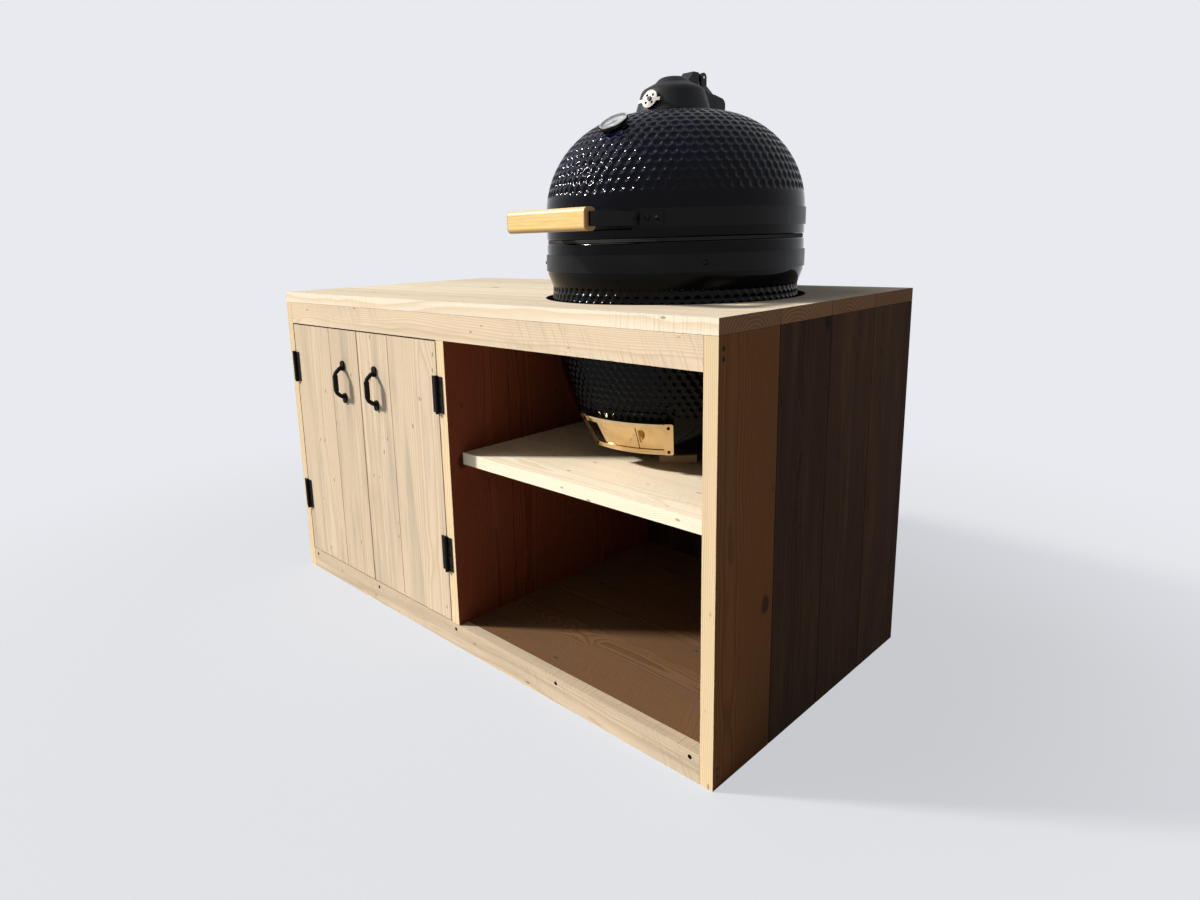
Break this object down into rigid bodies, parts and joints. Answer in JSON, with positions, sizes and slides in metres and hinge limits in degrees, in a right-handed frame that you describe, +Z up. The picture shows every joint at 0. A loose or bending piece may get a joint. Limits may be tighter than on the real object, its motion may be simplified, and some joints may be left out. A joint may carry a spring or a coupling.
{
  "type": "outdoor kitchen with kamado barbecue",
  "caption": "Scaffold-timber outdoor kitchen cabinet with hinged plank doors, an open shelf bay and a lidded ceramic kamado barbecue sunk through its worktop.",
  "frame": {"origin": "on the floor, in the middle of the cabinet's footprint", "axes": "+X along the front from left to right, +Y from the front to the back, +Z up"},
  "size_m": [1.56, 0.814, 1.3738],
  "materials": {
    "worktop_timber": "satin",
    "carcass_timber": "satin",
    "door_timber": "satin",
    "inner_timber": "satin",
    "bamboo": "satin",
    "black_hardware": "matte",
    "screw_steel": "satin",
    "black_glaze": "gloss",
    "firebrick": "matte",
    "black_band": "satin",
    "black_iron": "satin",
    "stainless": "polished",
    "felt": "matte",
    "dial_case": "polished",
    "dial_glass": "polished",
    "needle_paint": "satin"
  },
  "bodies": {
    "cabinet": {"worktop_plank_1": "worktop_timber", "worktop_plank_2": "worktop_timber", "worktop_plank_3": "worktop_timber", "worktop_plank_4": "worktop_timber", "worktop_battens": "inner_timber", "left_side_planks": "carcass_timber", "right_side_planks": "carcass_timber", "partition_planks": "inner_timber", "back_planks": "carcass_timber", "bottom_planks": "inner_timber", "floor_bearers": "inner_timber", "shelf_planks": "worktop_timber", "shelf_cleats": "inner_timber", "front_rails": "worktop_timber", "cabinet_screws": "screw_steel", "door_stop": "inner_timber", "magnet_catches": "dial_case", "frame_hinge_leaves": "black_hardware", "hinge_pins": "black_hardware", "kamado_shoes": "firebrick", "kamado_bowl": "black_glaze", "firebox": "firebrick", "fire_ring": "firebrick", "charcoal_grate": "black_iron", "cooking_grate": "stainless", "lower_band": "black_band", "lower_band_bolts": "black_hardware", "bowl_gasket": "felt", "draft_frame": "stainless", "draft_screws": "stainless", "hinge_base_bracket": "black_band", "lid_hinge_pin": "screw_steel"},
    "left_door": {"left_door_planks": "door_timber", "left_door_ledges": "inner_timber", "left_door_hinge_leaves": "black_hardware", "left_door_screws": "screw_steel", "left_door_pull": "black_hardware"},
    "right_door": {"right_door_planks": "door_timber", "right_door_ledges": "inner_timber", "right_door_hinge_leaves": "black_hardware", "right_door_screws": "screw_steel", "right_door_pull": "black_hardware"},
    "draft_left": {"draft_door_left": "stainless"},
    "draft_right": {"draft_door_right": "stainless"},
    "lid": {"kamado_dome": "black_glaze", "upper_band": "black_band", "upper_band_bolts": "black_hardware", "dome_gasket": "felt", "hinge_lid_bracket": "black_band", "handle_arms": "black_band", "handle_grip": "bamboo", "thermometer_case": "dial_case", "thermometer_lens": "dial_glass", "vent_tower": "black_iron", "vent_cap_pin": "screw_steel"},
    "cap": {"vent_cap": "black_iron"},
    "damper": {"vent_damper": "stainless"},
    "needle": {"thermometer_needle": "needle_paint"}
  },
  "joints": [
    {"name": "left_door_hinge", "type": "hinge", "parent": "cabinet", "child": "left_door", "pos_m": [-0.7485, -0.3948, 0.425], "axis": [0, 0, -1], "range_deg": [0, 165]},
    {"name": "right_door_hinge", "type": "hinge", "parent": "cabinet", "child": "right_door", "pos_m": [-0.0165, -0.3948, 0.425], "axis": [0, 0, 1], "range_deg": [0, 165]},
    {"name": "lid_hinge", "type": "hinge", "parent": "cabinet", "child": "lid", "pos_m": [0.3825, 0.3347, 1.0062], "axis": [-1, 0, 0], "range_deg": [0, 70]},
    {"name": "draft_left_slide", "type": "hinge", "parent": "cabinet", "child": "draft_left", "pos_m": [0.3825, 0.006, 0.5875], "axis": [0, 0, -1], "range_deg": [0, 10]},
    {"name": "draft_right_slide", "type": "hinge", "parent": "cabinet", "child": "draft_right", "pos_m": [0.3825, 0.006, 0.5875], "axis": [0, 0, 1], "range_deg": [0, 8]},
    {"name": "vent_cap_hinge", "type": "hinge", "parent": "lid", "child": "cap", "pos_m": [0.3825, 0.102, 1.36387], "axis": [-1, 0, 0], "range_deg": [0, 100]},
    {"name": "vent_damper_turn", "type": "hinge", "parent": "lid", "child": "damper", "pos_m": [0.3825, -0.07077, 1.30097], "axis": [0, -0.9568, 0.2907], "range_deg": [0, 45]},
    {"name": "thermometer_needle_turn", "type": "hinge", "parent": "lid", "child": "needle", "pos_m": [0.3825, -0.18899, 1.24093], "axis": [0, 0.5592, -0.829], "range_deg": [0, 270]}
  ]
}
